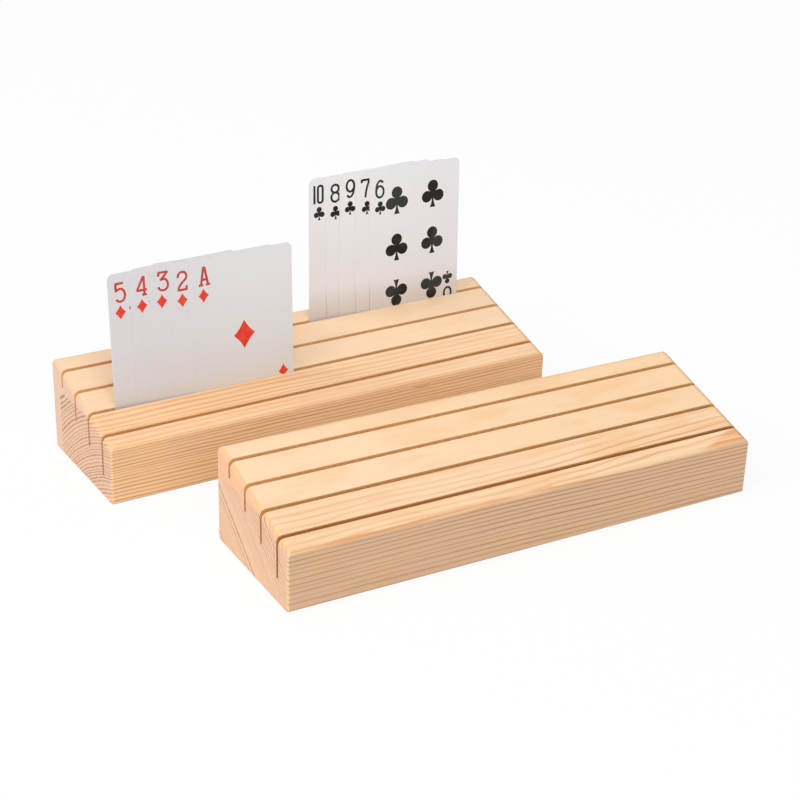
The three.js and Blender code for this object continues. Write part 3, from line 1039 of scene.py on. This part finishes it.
# Each card: its index, how many pips, its lean in degrees, and in millimetres from the card's middle the
# centre of its print, of its index and of its small pip; true for diamonds
CARDS = [
    ("five_of_diamonds", "5", 5, 1, (-0.75, -1.8), (-22.1, 34.3), (-22.5, 23.85), True),
    ("four_of_diamonds", "4", 4, 1.1, (-1.6, -1.4), (-22.3, 34.8), (-22.6, 24.25), True),
    ("three_of_diamonds", "3", 3, -1.2, (0, 0), (-21.46, 34.58), (-22.15, 24.06), True),
    ("two_of_diamonds", "2", 2, 0.5, (0, 0), (-22.13, 33.78), (-22.34, 23.44), True),
    ("ace_of_diamonds", "A", 1, 1.08, (0.7, -0.7), (-20.5, 35.25), (-21.2, 24.85), True),
    ("ten_of_clubs", "10", 10, 0.5, (1.3, 0), (-22.72, 35.27), (-22.39, 24.54), False),
    ("eight_of_clubs", "8", 8, 1.8, (1.3, 0), (-22.09, 34.74), (-22.09, 23.83), False),
    ("nine_of_clubs", "9", 9, 0.35, (1.3, 0), (-22.08, 35.28), (-22.12, 24.4), False),
    ("seven_of_clubs", "7", 7, 0.9, (1.3, 0), (-22.43, 35.56), (-21.55, 24.4), False),
    ("six_of_clubs", "6", 6, 1.2, (0.05, -1.0), (-22.25, 34.35), (-22.05, 23.63), False),
]
for row in CARDS:
    playing_card(*row)


# Floor, light and camera

FLOOR_SIZE = 12
FLOOR_GREY = (0.9, 0.9, 0.9)
FLOOR_WHITE_SHARE = 0.88
LAMP_SIZE = 3.4
LAMP_DISTANCE = 5
ROOM_LIGHT = 0.5

# The camera, fitted to the photo: pixels, radians, and millimetres from the rear holder's corner
PICTURE_PIXELS = 800
FOCAL_PIXELS = 1774.86
SENSOR_WIDTH = 36
CAMERA_YAW, CAMERA_PITCH, CAMERA_ROLL = 0.55309, 0.4397, -0.0283
CAMERA_STAND = Vector((-283.863, -726.629, 422.833))


def camera_ray_mix(tree, share, shown, seen, output):
    """Shows something plain to camera rays, as far as share says, and the real thing to all others."""
    rays = new_node(tree, "ShaderNodeLightPath").outputs["Is Camera Ray"]
    both = new_node(tree, "ShaderNodeMixShader")
    link(tree, product(tree, rays, share), both.inputs[0])
    link(tree, shown.outputs[0], both.inputs[1])
    link(tree, seen.outputs[0], both.inputs[2])
    link(tree, both.outputs[0], tree.nodes[output].inputs["Surface"])


def white_light(node, strength=1):
    node.inputs["Color"].default_value = (1, 1, 1, 1)
    node.inputs["Strength"].default_value = strength
    return node


def pale_floor():
    deselect_everything()
    bpy.ops.mesh.primitive_plane_add(size=FLOOR_SIZE, location=(0, 0, 0))
    floor = bpy.context.object
    floor.name = "pale_floor"
    material, tree, surface = new_material("pale floor")
    give(tree, FLOOR_GREY, surface["Base Color"])
    surface["Roughness"].default_value = 0.9
    surface["Specular IOR Level"].default_value = 0.1
    seen = white_light(new_node(tree, "ShaderNodeEmission"))
    camera_ray_mix(tree, FLOOR_WHITE_SHARE, tree.nodes["Principled BSDF"], seen, "Material Output")
    floor.data.materials.append(material)


def soft_lamp(name, direction, energy):
    lamp = bpy.data.lights.new(name, "AREA")
    lamp.shape = "SQUARE"
    lamp.size = LAMP_SIZE
    lamp.energy = energy
    holder = bpy.data.objects.new(name, lamp)
    bpy.context.scene.collection.objects.link(holder)
    towards = Vector(direction).normalized()
    holder.location = towards * LAMP_DISTANCE
    holder.rotation_euler = towards.to_track_quat("Z", "Y").to_euler()


def studio_light():
    world = bpy.data.worlds.new("studio")
    bpy.context.scene.world = world
    world.use_nodes = True
    tree = world.node_tree
    room = white_light(tree.nodes["Background"], ROOM_LIGHT)
    seen = white_light(new_node(tree, "ShaderNodeBackground"))
    camera_ray_mix(tree, 1, room, seen, "World Output")
    soft_lamp("window", direction=(-0.72, -0.03, 0.69), energy=150)
    soft_lamp("front_fill", direction=(-0.25, -0.75, 0.6), energy=98)


def photo_camera():
    data = bpy.data.cameras.new("camera")
    data.sensor_width = SENSOR_WIDTH
    data.lens = SENSOR_WIDTH * FOCAL_PIXELS / PICTURE_PIXELS
    data.clip_start = 0.05
    data.clip_end = 50
    camera = bpy.data.objects.new("camera", data)
    bpy.context.scene.collection.objects.link(camera)
    facing = Vector((math.sin(CAMERA_YAW), math.cos(CAMERA_YAW), 0))
    ahead = facing * math.cos(CAMERA_PITCH) - Vector((0, 0, math.sin(CAMERA_PITCH)))
    right = Vector((math.cos(CAMERA_YAW), -math.sin(CAMERA_YAW), 0))
    down = ahead.cross(right)
    level = math.cos(CAMERA_ROLL) * right + math.sin(CAMERA_ROLL) * down
    plumb = -math.sin(CAMERA_ROLL) * right + math.cos(CAMERA_ROLL) * down
    turn = Matrix((level, -plumb, -ahead)).transposed().to_4x4()
    camera.matrix_world = Matrix.Translation(rear_low + CAMERA_STAND * MM) @ turn
    bpy.context.scene.camera = camera


pale_floor()
studio_light()
photo_camera()
bpy.context.scene.view_settings.view_transform = "Standard"
